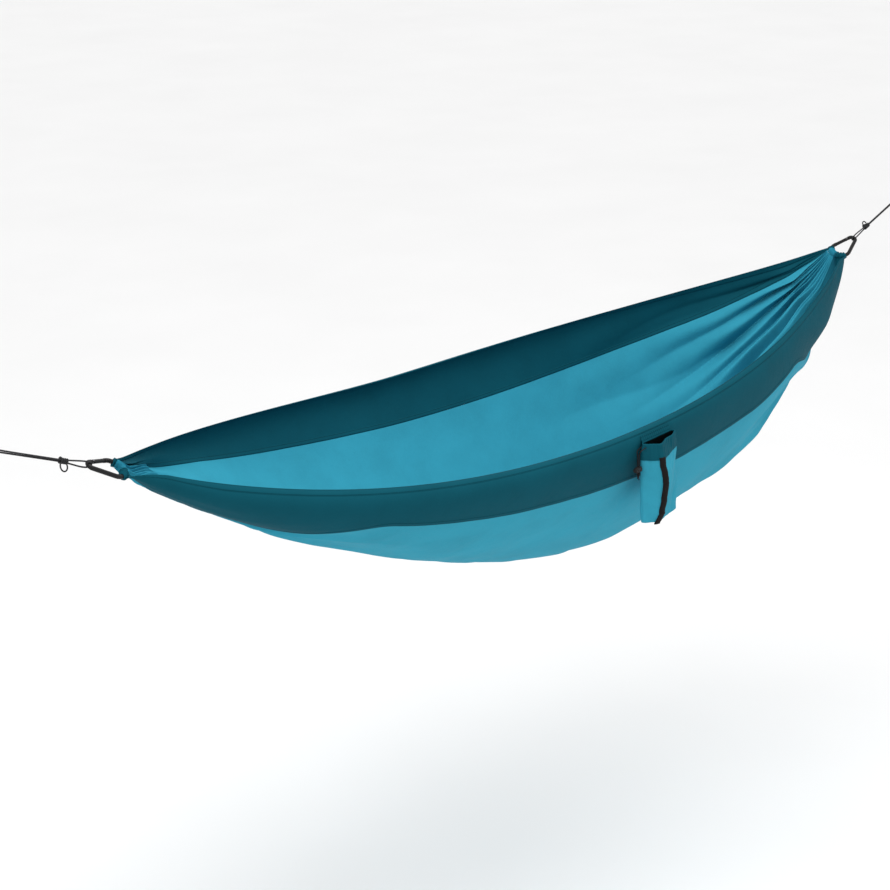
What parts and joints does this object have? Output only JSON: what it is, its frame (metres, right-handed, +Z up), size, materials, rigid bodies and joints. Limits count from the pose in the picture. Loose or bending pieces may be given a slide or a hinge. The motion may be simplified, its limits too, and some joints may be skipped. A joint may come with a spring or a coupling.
{
  "type": "camping hammock",
  "caption": "Gathered-end camping hammock of light and dark teal nylon, hung level by doubled ropes and black steel carabiners, with a stuff pouch sewn to one side.",
  "frame": {"origin": "the foot rope's hanging eye, where it goes round the foot tree's strap", "axes": "+X runs level to the head rope's eye, +Z up, and the stuff pouch hangs on the -Y side"},
  "size_m": [3.2269, 0.7946, 0.7082],
  "materials": {
    "canopy_light": "satin",
    "canopy_dark": "satin",
    "seam_tape": "satin",
    "hem_cloth": "satin",
    "rope_cord": "matte",
    "drawcord_cord": "matte",
    "webbing": "matte",
    "hook_steel": "satin",
    "pin_steel": "satin",
    "spring_steel": "satin",
    "lock_plastic": "matte"
  },
  "bodies": {
    "held_ropes": {"foot_rope": "rope_cord", "foot_loop_knot": "rope_cord", "foot_eye_knot": "rope_cord", "head_rope": "rope_cord", "head_loop_knot": "rope_cord", "head_eye_knot": "rope_cord"},
    "bed": {"centre_panel": "canopy_light", "near_side_panel": "canopy_dark", "far_side_panel": "canopy_dark", "near_seam": "seam_tape", "far_seam": "seam_tape", "near_hem": "hem_cloth", "far_hem": "hem_cloth", "foot_channel": "canopy_light", "head_channel": "canopy_light", "foot_carabiner_body": "hook_steel", "foot_gate_pin": "pin_steel", "head_carabiner_body": "hook_steel", "head_gate_pin": "pin_steel"},
    "foot_gate": {"foot_carabiner_gate": "hook_steel", "foot_gate_plunger": "pin_steel", "foot_gate_spring": "spring_steel"},
    "head_gate": {"head_carabiner_gate": "hook_steel", "head_gate_plunger": "pin_steel", "head_gate_spring": "spring_steel"},
    "pouch": {"pouch_body": "canopy_light", "pouch_mouth_band": "canopy_dark", "pouch_strap": "webbing", "drawcord": "drawcord_cord", "drawcord_knot": "drawcord_cord"},
    "cord_lock": {"cord_lock_barrel": "lock_plastic", "cord_lock_spring": "spring_steel"},
    "lock_button": {"cord_lock_button": "lock_plastic"}
  },
  "joints": [
    {"name": "bed_swing", "type": "hinge", "parent": "held_ropes", "child": "bed", "pos_m": [1.59486, 0, -0.10995], "axis": [1, 0, 0], "range_deg": [-18, 18]},
    {"name": "foot_gate_hinge", "type": "hinge", "parent": "bed", "child": "foot_gate", "pos_m": [0.29727, 0.0111, -0.11102], "axis": [-0.3266, 0.454, -0.829], "range_deg": [0, 20], "stiffness_Nm_per_rad": 0.6, "springref_deg": -22.92},
    {"name": "head_gate_hinge", "type": "hinge", "parent": "bed", "child": "head_gate", "pos_m": [2.89319, 0.01191, -0.11289], "axis": [-0.3505, -0.2924, 0.8898], "range_deg": [0, 20], "stiffness_Nm_per_rad": 0.6, "springref_deg": -22.92},
    {"name": "pouch_flip", "type": "hinge", "parent": "bed", "child": "pouch", "pos_m": [1.6239, -0.36545, -0.29012], "axis": [-0.9981, -0.0495, -0.0372], "range_deg": [0, 60]},
    {"name": "cord_lock_slide", "type": "slide", "parent": "pouch", "child": "cord_lock", "axis": [-0.0371, -0.0018, 0.9993], "range_m": [0, 0.024]},
    {"name": "lock_button_press", "type": "slide", "parent": "cord_lock", "child": "lock_button", "axis": [0.9981, 0.0495, 0.0372], "range_m": [0, 0.003], "stiffness_N_per_m": 400, "springref_m": -0.004, "deforming": ["cord_lock_spring"]}
  ]
}
